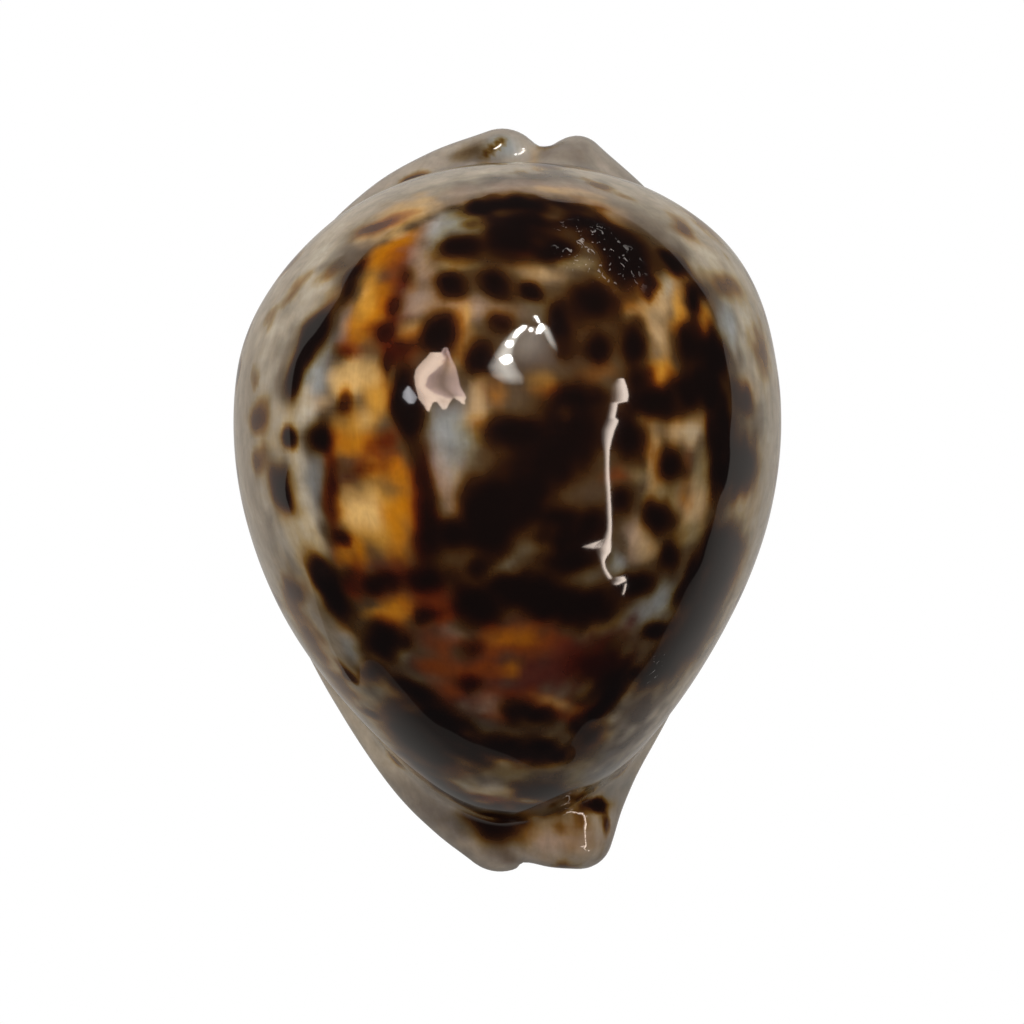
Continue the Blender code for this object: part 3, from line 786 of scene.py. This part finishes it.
    ("chestnut", -6.9, -17.8, 2.5, 2.3, 75, 0.95),
    ("chestnut", -2.8, -17.6, 3.7, 0.9, 0, 0.7),
    ("wine", 7.5, -17.1, 4.1, 2.3, 15, 0.9),
    ("chestnut", 5.0, -21.4, 3.5, 1.2, -15, 0.8),
    ("honey", 5.1, -21.2, 1.9, 0.7, -15, 0.35),
    ("chestnut", -1.8, -20.8, 2.1, 1.5, -20, 0.6),
    ("rose", -1.8, -21.3, 1.5, 0.8, -20, 0.4),
    ("smoke", -2.8, -23.8, 1.3, 0.8, 0, 0.7),
    ("umber", -9.3, -25.7, 7.4, 3.2, -42, 0.9),
    ("umber", 3.5, -29.9, 8.5, 2.3, 0, 0.9),
    ("khaki", 0.3, -28.9, 1.9, 1.3, 0, 0.85),
    ("rose", -5.4, -28.8, 1.9, 0.7, -5, 0.8),
    ("slate", -4.9, -30.5, 1.3, 0.7, -15, 0.5),
    ("chestnut", -1.5, -32.2, 3.0, 0.5, -20, 0.9),
    ("khaki", 7.6, -29.5, 1.3, 1.3, 0, 0.7),
    ("smoke", 14.4, -27.3, 4.8, 1.5, 52, 0.35),
    ("slate", 11.3, -29.8, 2.4, 1.5, 20, 0.5),
    ("rose", 5.7, -37.3, 5.0, 2.6, 0, 0.8),
    ("khaki", 5.7, -37.3, 4.4, 2.0, 0, 0.3),
    # The next three rows are partly pigment, partly painted shade: the soft dark at the left foot of the front
    # pad and over the front flange, darker towards the right and down
    ("umber", -1.1, -37.0, 3.3, 2.2, -10, 0.9),
    ("smoke", -4.7, -36.0, 3.9, 1.1, -28, 0.5),
    ("smoke", -6.9, -35.3, 5.5, 2.0, -38, 0.4),
    ("smoke", -8.3, 35.0, 6.4, 1.1, 22, 0.3),
    ("smoke", -3.5, 38.0, 3.7, 1.7, 10, 0.8),
    ("slate", 0.1, 38.3, 2.0, 1.4, 0, 0.95),
    ("honey", 3.0, 36.7, 0.9, 0.6, -90, 0.8),
    ("smoke", 7.0, 38.0, 3.3, 2.2, -10, 0.5),
    ("smoke", 3.4, 34.1, 6.3, 0.8, 0, 0.5),
    ("olive", 5.1, 36.3, 2.6, 0.5, 0, 0.8),
)

# Paler pigments laid over the blotches, in the same form
GLEAMS = (
    ("slate", -5.5, 5.1, 2.2, 2.0, 0, 0.35),
    ("rose", -6.4, 1.7, 2.2, 1.2, -85, 0.45),
    ("rose", 6.0, -37.4, 4.6, 1.2, 0, 0.75),
    ("olive", 8.2, -7.6, 1.4, 1.0, 0, 0.6),
    ("umber", 8.1, 0.9, 2.2, 1.4, -90, 0.35),
    ("olive", 5.9, 8.7, 1.4, 0.9, 0, 0.35),
    ("olive", 1.8, -5.1, 1.8, 0.6, 25, 0.25),
    ("slate", -0.7, -6.8, 1.4, 0.6, 40, 0.25),
    ("umber", 5.3, -0.6, 2.4, 1.0, 0, 0.3),
    ("chestnut", 18.4, 3.8, 1.2, 0.6, -90, 0.3),
    ("wine", 8.5, -14.4, 3.1, 0.9, 15, 0.3),
    ("chestnut", -12.5, 20.2, 1.2, 0.6, -90, 0.3),
)

PALETTE = {
    "gold": "#b48430",
    "honey": "#c6a468",
    "amber": "#a66802",
    "chestnut": "#6f3408",
    "wine": "#451811",
    "umber": "#38281c",
    "olive": "#5c5342",
    "khaki": "#83775a",
    "sand": "#a88f6a",
    "slate": "#8a9091",
    "ash": "#bab3a1",
    "rose": "#8f7b6b",
    "smoke": "#4a4440",
}
DOME_GROUND = "#453828"
FLANK_GROUND = "#b5ab97"
LOBE_GROUND = "#948c80"
BARE_CALLUS = "#dcd4c6"
ground = np.tile(np.array(colour(DOME_GROUND), np.float32), (len(points), 1))


def blend(code, share):
    """Blends a colour into the ground, by a share for every point."""
    share = share[:, None]
    ground[:] = ground * (1.0 - share) + np.array(colour(code), np.float32) * share


def blend_oval(name, x, y, long, short, turn, amount):
    """Blends one colour of the palette into the ground over a soft oval, and gives back how much of it each
    point has. Most ovals are pigment, and a few in front are painted shade.
    """
    share = oval(x, y, long, short, turn) + 0.32 * mottle[:, 0] + 0.35 * frayed[:, 0]
    wash = amount * ease(1.6, 0.1, share) * (0.9 + 0.2 * ease(-1.0, 1.0, mottle[:, 1]))
    wash = np.clip(wash, 0.0, 1.0)
    blend(PALETTE[name], wash)
    return wash


blend(FLANK_GROUND, ease(34.0, 22.0, points[:, 2]))
blend(LOBE_GROUND, ease(18.0, 11.0, points[:, 2]) * ease(27.0, 34.0, np.abs(points[:, 1])))
for row in WASHES_AND_SHADE:
    blend_oval(*row)
# How clear each point stays of ink and of painted shade, with a faint haze that spreads wider round each blotch
clear = np.ones(len(points), np.float32)
haze = np.ones(len(points), np.float32)
for x, y, long, short, turn, tone in BLOTCHES_AND_SHADE:
    inner = (1.0 - oval(x, y, long, short, turn)) * short + 0.3 * frayed[:, 1] + 0.15 * mottle[:, 2]
    soft = min(1.5, 0.75 * short)
    clear *= 1.0 - tone * ease(-0.8 * soft, 1.2 * soft, inner)
    haze *= 1.0 - 0.16 * tone * ease(-min(2.6, 1.5 * short), 0.5, inner)

# Small round spots at random, low on the flanks and clear of each other, down to the base
SPOTS = 90
TRIES = 4000
APART = 4.0
rng = np.random.default_rng(11)
low = (points[:, 2] > 7.0) & (points[:, 2] < 27.0) & (depth > -0.2)
low = np.flatnonzero(low & (np.abs(normals[:, 2] + 0.25) < 0.4))
spots = []
for middle in rng.permutation(low)[:TRIES]:
    if len(spots) < SPOTS and all(math.dist(points[middle], points[other]) > APART for other in spots):
        spots.append(middle)
for middle in spots:
    inner = rng.uniform(0.9, 2.0) - np.linalg.norm(bent - bent[middle], axis=1) + 0.3 * frayed[:, 1]
    tone = rng.uniform(0.45, 0.95) * (depth > -0.5)
    clear *= 1.0 - tone * ease(-0.8, 0.9, inner)
ink_and_shade = 1.0 - clear * haze
for row in GLEAMS:
    ink_and_shade *= 1.0 - blend_oval(*row)

# The base, its teeth and the hollow are bare white callus, and the spots fade out towards it
white = ease(5.5, 2.0, points[:, 2]) * ease(0.2, -0.3, normals[:, 2])
white = np.maximum(white, ease(-0.4, -1.6, depth))
ink_and_shade *= 1.0 - white
blend(BARE_CALLUS, white)
kept = skin.attributes.new("ground", "FLOAT_COLOR", "POINT")
kept.data.foreach_set("color", ground.ravel())
kept = skin.attributes.new("ink_and_shade", "FLOAT", "POINT")
kept.data.foreach_set("value", ink_and_shade.astype(np.float32))

# Two places where the glaze is scratched, behind the crown and low on the right flank; tiny pale chips there
# are painted glints of the scratches
SCRATCH_GLINTS = (
    (9.0, 25.5, 6.0, 3.2, -35),
    (15.6, -17.6, 2.4, 1.0, 60),
)
scratch_glint = np.zeros(len(points), np.float32)
for x, y, long, short, turn in SCRATCH_GLINTS:
    scratch_glint = np.maximum(scratch_glint, ease(1.1, 0.5, oval(x, y, long, short, turn)))
kept = skin.attributes.new("scratch_glint", "FLOAT", "POINT")
kept.data.foreach_set("value", scratch_glint.astype(np.float32))

# Spotted callus: brown ink in clear aragonite layers over a pale ground, under a glaze that grew smooth. The
# ink attribute also carries the painted shade in the front crease and pit, and pale chips paint glints in
# scratches.
# The smooth glaze gives the eye small sharp lights, the ink turns tawny where it thins out, and fine lines
# along the shell and soft clouds show inside the callus. Grain is 1.4 mm, lines 1.1 by 6 mm, clouds 4 mm
# across.
body = glaze.node_tree.nodes["Principled BSDF"]
tree = glaze.node_tree
place = node(tree, "ShaderNodeTexCoord")
grain = node(tree, "ShaderNodeTexNoise", place.outputs["Object"], 700.0, 2.0, 0.6, 2.0, 0.0)
grain = node(tree, MATH, grain.outputs["Fac"], 0.5, operation="SUBTRACT")
drawn = node(tree, VECTOR, place.outputs["Object"], (900.0, 160.0, 900.0), operation="MULTIPLY")
lines = node(tree, "ShaderNodeTexNoise", drawn, 1.0, 3.0, 0.6, 2.0, 0.6)
clouds = node(tree, "ShaderNodeTexNoise", place.outputs["Object"], 260.0, 3.0, 0.6, 2.0, 0.4)
depth_tone = node(tree, MATH, lines.outputs["Fac"], 0.5, clouds.outputs["Fac"], operation="MULTIPLY_ADD")
depth_tone = node(tree, RANGE, depth_tone, 0.45, 1.05, 0.72, 1.28)
ground_in = node(tree, "ShaderNodeAttribute", attribute_name="ground")
ink_and_shade_in = node(tree, "ShaderNodeAttribute", attribute_name="ink_and_shade")
amount = node(tree, MATH, grain, 0.12, ink_and_shade_in.outputs["Fac"], operation="MULTIPLY_ADD")
ramp = node(tree, "ShaderNodeValToRGB", amount)
stops = (
    (0.0, "#ffffff"),
    (0.15, "#ebdab4"),
    (0.35, "#c0964e"),
    (0.55, "#7f5222"),
    (0.75, "#482719"),
    (0.9, "#261513"),
    (1.0, "#1b1110"),
)
bands = ramp.color_ramp.elements
while len(bands) < len(stops):
    bands.new(0.5)
for band, (at, code) in zip(bands, stops):
    band.position = at
    band.color = colour(code)
tint = node(tree, "ShaderNodeMix", data_type="RGBA", blend_type="MULTIPLY")
tint.inputs["Factor"].default_value = 1.0
colours = [socket for socket in tint.inputs if socket.type == "RGBA"]
tree.links.new(ground_in.outputs["Color"], colours[0])
tree.links.new(ramp.outputs["Color"], colours[1])
tinted = next(socket for socket in tint.outputs if socket.type == "RGBA")
shaded = node(tree, VECTOR, tinted, operation="SCALE")
tree.links.new(depth_tone.outputs[0], shaded.inputs["Scale"])
milky = node(tree, VECTOR, shaded, colour("#0d0706")[:3], operation="ADD")
# Painted glints: chips about 1 mm long in the scratched places, a little lighter
glint_chips = node(tree, VECTOR, place.outputs["Object"], (1500.0, 700.0, 1500.0), operation="MULTIPLY")
glint_chips = node(tree, "ShaderNodeTexNoise", glint_chips, 1.0, 1.0, 0.5, 2.0, 1.2)
glint_chips = node(tree, RANGE, glint_chips.outputs["Fac"], 0.64, 0.7, 0.0, 0.2)
scratch_glint_in = node(tree, "ShaderNodeAttribute", attribute_name="scratch_glint")
glint_chips = node(tree, MATH, glint_chips, scratch_glint_in.outputs["Fac"], operation="MULTIPLY")
milky = node(tree, VECTOR, milky, glint_chips, operation="ADD")
tree.links.new(milky.outputs[0], body.inputs["Base Color"])
body.inputs["Roughness"].default_value = 0.045
body.inputs["IOR"].default_value = 1.55

# Table
# The shell lies on plain white paper. The glaze mirrors it dimmer than the eye sees it, dimmest in front, and
# only as far as the edge of a sheet, which is the crisp line round the dome. The room beyond it is dark.
# Edge of the mirrored sheet in millimetres, before its corners are rounded
EDGE = (
    (1, 66), (11, 84), (21, 73), (50, 83), (64, 88), (91, 92), (102, 83), (116, 65),
    (131, 53), (140, 37), (143, 22), (166, 2), (122, -19), (151, -41), (131, -51), (125, -58),
    (106, -60), (107, -77), (88, -73), (81, -79), (64, -71), (59, -80), (47, -77), (40, -82),
    (42, -101), (26, -88), (25, -74), (20, -64), (15, -71), (8, -80), (0, -99), (-14, -104),
    (-22, -96), (-30, -95), (-35, -84), (-44, -86), (-52, -86), (-64, -84), (-49, -56), (-39, -47),
    (-31, -37), (-42, -38), (-52, -40), (-68, -44), (-81, -42), (-98, -41), (-113, -37), (-110, -20),
    (-217, -25), (-221, -1), (-213, 20), (-209, 44), (-190, 84), (-240, 150), (-152, 145), (-73, 95),
    (-43, 82), (-32, 76), (-24, 81), (-8, 74),
)
edge = np.array(EDGE) / 1000.0
for turn in range(2):
    after = np.roll(edge, -1, axis=0)
    edge = np.stack((0.75 * edge + 0.25 * after, 0.25 * edge + 0.75 * after), axis=1).reshape(-1, 2)
square = np.array(((1, 1), (-1, 1), (-1, -1), (1, -1))) * 0.6
# White paper: an even glow without shadows. Each row is the outline, the height, the colour, how strongly the
# sheet glows in front and behind, and the rays that meet it.
SHEETS = {
    "table": (square, -0.0002, "#ffffff", 1.0, 1.0, ("camera",)),
    "mirrored sheet": (edge[::-1], 0.0, "#fff9f2", 0.132, 0.44, ("diffuse", "glossy")),
}
for name, (outline, height, tint, near, far, rays) in SHEETS.items():
    floor = bpy.data.objects.new(name, bpy.data.meshes.new(name))
    floor.data.from_pydata([(x, y, height) for x, y in outline], [], [tuple(range(len(outline)))])
    bpy.context.scene.collection.objects.link(floor)
    for ray in ("camera", "diffuse", "glossy"):
        setattr(floor, "visible_" + ray, ray in rays)
    paper = bpy.data.materials.new("white paper " + name)
    paper.use_nodes = True
    tree = paper.node_tree
    tree.nodes.remove(tree.nodes["Principled BSDF"])
    strength = far
    if near < far:
        place = node(tree, "ShaderNodeTexCoord")
        place = node(tree, "ShaderNodeSeparateXYZ", place.outputs["Object"])
        strength = node(tree, RANGE, place.outputs["Y"], -0.075, -0.02, near, far)
    glowing = node(tree, "ShaderNodeEmission", colour(tint), strength)
    tree.links.new(glowing.outputs[0], tree.nodes["Material Output"].inputs["Surface"])
    floor.data.materials.append(paper)

# Room
# A dim room with a soft lamp over the table. What the glaze mirrors of it are a window with a ragged outline,
# a cluster of bulbs under a shade, and a tall gap of daylight at a door. All lie level about half a metre up,
# and each row of an outline is its left end and its right end in metres.
LIGHTS = {
    "window": (
        (-0.316, 0.326, -0.262, 0.313),
        (-0.329, 0.295, -0.235, 0.274),
        (-0.346, 0.269, -0.238, 0.244),
        (-0.363, 0.238, -0.258, 0.216),
        (-0.364, 0.197, -0.296, 0.184),
        (-0.352, 0.150, -0.302, 0.144),
        (-0.338, 0.118, -0.260, 0.110),
        (-0.331, 0.095, -0.210, 0.084),
        (-0.313, 0.076, -0.261, 0.073),
        (-0.298, 0.059, -0.269, 0.057),
        (-0.284, 0.039, -0.276, 0.038),
    ),
    "window side": (
        (-0.255, 0.348, -0.241, 0.345),
        (-0.262, 0.313, -0.227, 0.306),
        (-0.242, 0.269, -0.213, 0.264),
        (-0.259, 0.227, -0.193, 0.218),
        (-0.296, 0.184, -0.177, 0.170),
        (-0.302, 0.144, -0.166, 0.127),
        (-0.260, 0.110, -0.148, 0.098),
        (-0.210, 0.084, -0.140, 0.078),
    ),
    "window foot": (
        (-0.258, 0.089, -0.191, 0.082),
        (-0.242, 0.068, -0.200, 0.064),
        (-0.225, 0.044, -0.210, 0.043),
    ),
    "window tip": (
        (-0.192, 0.090, -0.140, 0.086),
        (-0.169, 0.072, -0.143, 0.071),
        (-0.150, 0.057, -0.145, 0.056),
    ),
    "pane": (
        (-0.399, 0.154, -0.387, 0.153),
        (-0.421, 0.132, -0.362, 0.128),
        (-0.425, 0.105, -0.337, 0.100),
        (-0.388, 0.078, -0.352, 0.075),
    ),
    "bulb a": (
        (-0.010, 0.275, 0.005, 0.275),
        (-0.035, 0.253, 0.017, 0.252),
        (-0.028, 0.236, 0.013, 0.235),
        (-0.016, 0.219, -0.002, 0.219),
    ),
    "bulb b": (
        (-0.008, 0.361, 0.016, 0.361),
        (-0.015, 0.335, 0.021, 0.335),
        (-0.003, 0.316, 0.009, 0.316),
    ),
    "bulb c": (
        (0.059, 0.475, 0.077, 0.474),
        (0.033, 0.442, 0.068, 0.441),
        (0.020, 0.410, 0.046, 0.410),
        (0.016, 0.381, 0.029, 0.381),
    ),
    "bulb d": (
        (0.089, 0.457, 0.098, 0.458),
        (0.082, 0.441, 0.104, 0.442),
        (0.088, 0.426, 0.097, 0.426),
    ),
    "bulb e": (
        (0.137, 0.496, 0.152, 0.497),
        (0.120, 0.451, 0.158, 0.454),
        (0.113, 0.412, 0.136, 0.413),
    ),
    "bulb f": (
        (0.114, 0.576, 0.129, 0.578),
        (0.121, 0.534, 0.135, 0.535),
        (0.128, 0.505, 0.138, 0.506),
    ),
    "shade": (
        (0.046, 0.467, 0.191, 0.474),
        (-0.004, 0.389, 0.201, 0.398),
        (-0.040, 0.323, 0.201, 0.334),
        (-0.058, 0.265, 0.200, 0.282),
        (-0.066, 0.213, 0.196, 0.228),
        (-0.060, 0.164, 0.187, 0.173),
        (-0.045, 0.119, 0.130, 0.122),
    ),
    "glow left": (
        (0.050, 0.480, 0.085, 0.485),
        (0.005, 0.420, 0.055, 0.405),
        (-0.030, 0.350, 0.030, 0.330),
        (-0.055, 0.280, 0.020, 0.260),
        (-0.075, 0.215, 0.040, 0.200),
        (-0.060, 0.165, 0.060, 0.160),
        (-0.030, 0.125, 0.055, 0.120),
    ),
    "glow right": (
        (0.150, 0.490, 0.175, 0.480),
        (0.150, 0.430, 0.190, 0.420),
        (0.165, 0.360, 0.200, 0.350),
        (0.180, 0.310, 0.200, 0.300),
    ),
    "gap": (
        (0.465, 0.208, 0.529, 0.220),
        (0.417, 0.158, 0.546, 0.177),
        (0.411, 0.109, 0.552, 0.122),
        (0.410, 0.084, 0.539, 0.090),
        (0.404, 0.076, 0.461, 0.077),
        (0.399, 0.046, 0.454, 0.046),
        (0.392, 0.018, 0.446, 0.017),
        (0.384, 0.007, 0.470, 0.004),
        (0.363, -0.031, 0.449, -0.034),
        (0.366, -0.074, 0.436, -0.078),
        (0.383, -0.118, 0.429, -0.123),
        (0.398, -0.164, 0.435, -0.169),
        (0.409, -0.208, 0.446, -0.214),
        (0.419, -0.251, 0.458, -0.257),
        (0.433, -0.297, 0.470, -0.304),
        (0.452, -0.348, 0.493, -0.360),
        (0.478, -0.406, 0.525, -0.422),
        (0.510, -0.476, 0.563, -0.495),
        (0.539, -0.560, 0.604, -0.586),
        (0.535, -0.638, 0.643, -0.685),
        (0.482, -0.671, 0.680, -0.765),
        (0.522, -0.732, 0.704, -0.827),
        (0.566, -0.801, 0.681, -0.866),
        (0.619, -0.879, 0.688, -0.923),
        (0.683, -0.985, 0.755, -1.034),
        (0.772, -1.123, 0.892, -1.214),
        (0.906, -1.300, 1.063, -1.431),
    ),
    "gap hook": (
        (0.973, -1.324, 1.450, -1.729),
        (1.017, -1.424, 1.698, -2.028),
        (1.160, -1.623, 1.386, -1.827),
    ),
    "gap tail": (
        (1.648, -2.046, 1.834, -2.220),
        (1.870, -2.406, 2.107, -2.640),
        (2.133, -2.836, 2.339, -3.054),
    ),
    "gap spur": (
        (0.383, -0.626, 0.560, -0.640),
        (0.430, -0.655, 0.560, -0.680),
        (0.490, -0.690, 0.560, -0.715),
    ),
}
# Daylight in the window and the gap is a warm pink, the pane is bluish, and the bulbs with their glow are near
# white. Each row is the colour, the strength, and how it fades from side to side and from row to row.
GLOW = {
    "window": ("#ffe3ce", 14.5, (0.6, 0.8, 1.0, 1.0, 0.9), None),
    "window side": ("#ffddd4", 10.0, (0.95, 0.6, 0.3, 0.75, 1.0), (1.0, 1.0, 0.9, 0.75, 0.65, 0.8, 1.0, 1.0)),
    "window foot": ("#ffe3ce", 13.0, (1.0, 1.0, 0.8, 1.0, 0.9), None),
    "window tip": ("#ffe3ce", 13.0, (0.8, 1.0, 1.0, 1.0, 0.8), None),
    "pane": ("#f9f9ff", 8.0, (0.5, 0.9, 1.0, 0.8, 0.5), None),
    "bulb": ("#fffaf3", 60.0, (1.0, 1.0, 1.0, 1.0, 1.0), None),
    "glow left": ("#fffcf3", 13.0, (0.0, 0.6, 1.0, 0.7, 0.0), (0.6, 1.0, 1.0, 1.0, 0.8, 0.7, 0.0)),
    "glow right": ("#fffcf3", 10.0, (0.5, 1.0, 1.0, 0.6, 0.0), (1.0, 1.0, 0.7, 0.0)),
    "shade": ("#fff9ef", 3.0, (0.0, 0.7, 1.0, 0.6, 0.0), (0.7, 1.0, 1.0, 0.65, 0.25, 0.05, 0.0)),
    "gap spur": ("#ffeddf", 13.0, (0.5, 0.8, 1.0, 1.0, 1.0), None),
    "gap": ("#ffeddf", 15.0, (0.0, 0.1, 0.55, 1.0, 1.0), None),
}
HEIGHT = 0.5
HIGHER = {"shade": 0.505, "glow left": 0.5025, "glow right": 0.5025}
for name, rows in LIGHTS.items():
    lamp = bpy.data.objects.new(name, bpy.data.meshes.new(name))
    tint, strength, across, along = GLOW[name if name in GLOW else name.split()[0]]
    height = HIGHER.get(name, HEIGHT)
    wide = len(across)
    corners = []
    shares = []
    for i, (x, y, right, top) in enumerate(rows):
        for j, share in enumerate(across):
            way = j / (wide - 1)
            corners.append((x + (right - x) * way, y + (top - y) * way, height))
            shares.append(share * (along[i] if along else 1.0))
    starts = [k for k in range(len(corners) - wide) if (k + 1) % wide]
    faces = [(k, k + 1, k + 1 + wide, k + wide) for k in starts]
    lamp.data.from_pydata(corners, [], faces)
    lamp.data.attributes.new("share", "FLOAT", "POINT").data.foreach_set("value", shares)
    bpy.context.scene.collection.objects.link(lamp)
    light = bpy.data.materials.new(name)
    light.use_nodes = True
    tree = light.node_tree
    tree.nodes.remove(tree.nodes["Principled BSDF"])
    share = node(tree, "ShaderNodeAttribute", attribute_name="share")
    power = node(tree, MATH, share.outputs["Fac"], strength, operation="MULTIPLY")
    glowing = node(tree, "ShaderNodeEmission", colour(tint), power)
    tree.links.new(glowing.outputs[0], tree.nodes["Material Output"].inputs["Surface"])
    lamp.data.materials.append(light)
world = bpy.data.worlds.new("room")
bpy.context.scene.world = world
world.use_nodes = True
world.node_tree.nodes["Background"].inputs["Color"].default_value = colour("#303032")
overhead = bpy.data.objects.new("soft lamp", bpy.data.lights.new("soft lamp", "AREA"))
overhead.data.size = 1.8
overhead.data.energy = 9.0
overhead.location = (-0.12, 0.15, 0.7)
overhead.rotation_euler = Vector(overhead.location).to_track_quat("Z", "Y").to_euler()
overhead.visible_glossy = False
bpy.context.scene.collection.objects.link(overhead)
bpy.context.scene.view_settings.view_transform = "Standard"

# Camera
# A long lens looks straight down on the shell from 0.45 m above the table. It stands a little to the right of
# the shell's middle and a little in front of it.
camera = bpy.data.objects.new("camera", bpy.data.cameras.new("camera"))
camera.data.lens = 141.9
camera.data.sensor_width = 36.0
camera.location = (0.0005, -0.0013, 0.45)
bpy.context.scene.collection.objects.link(camera)
bpy.context.scene.camera = camera
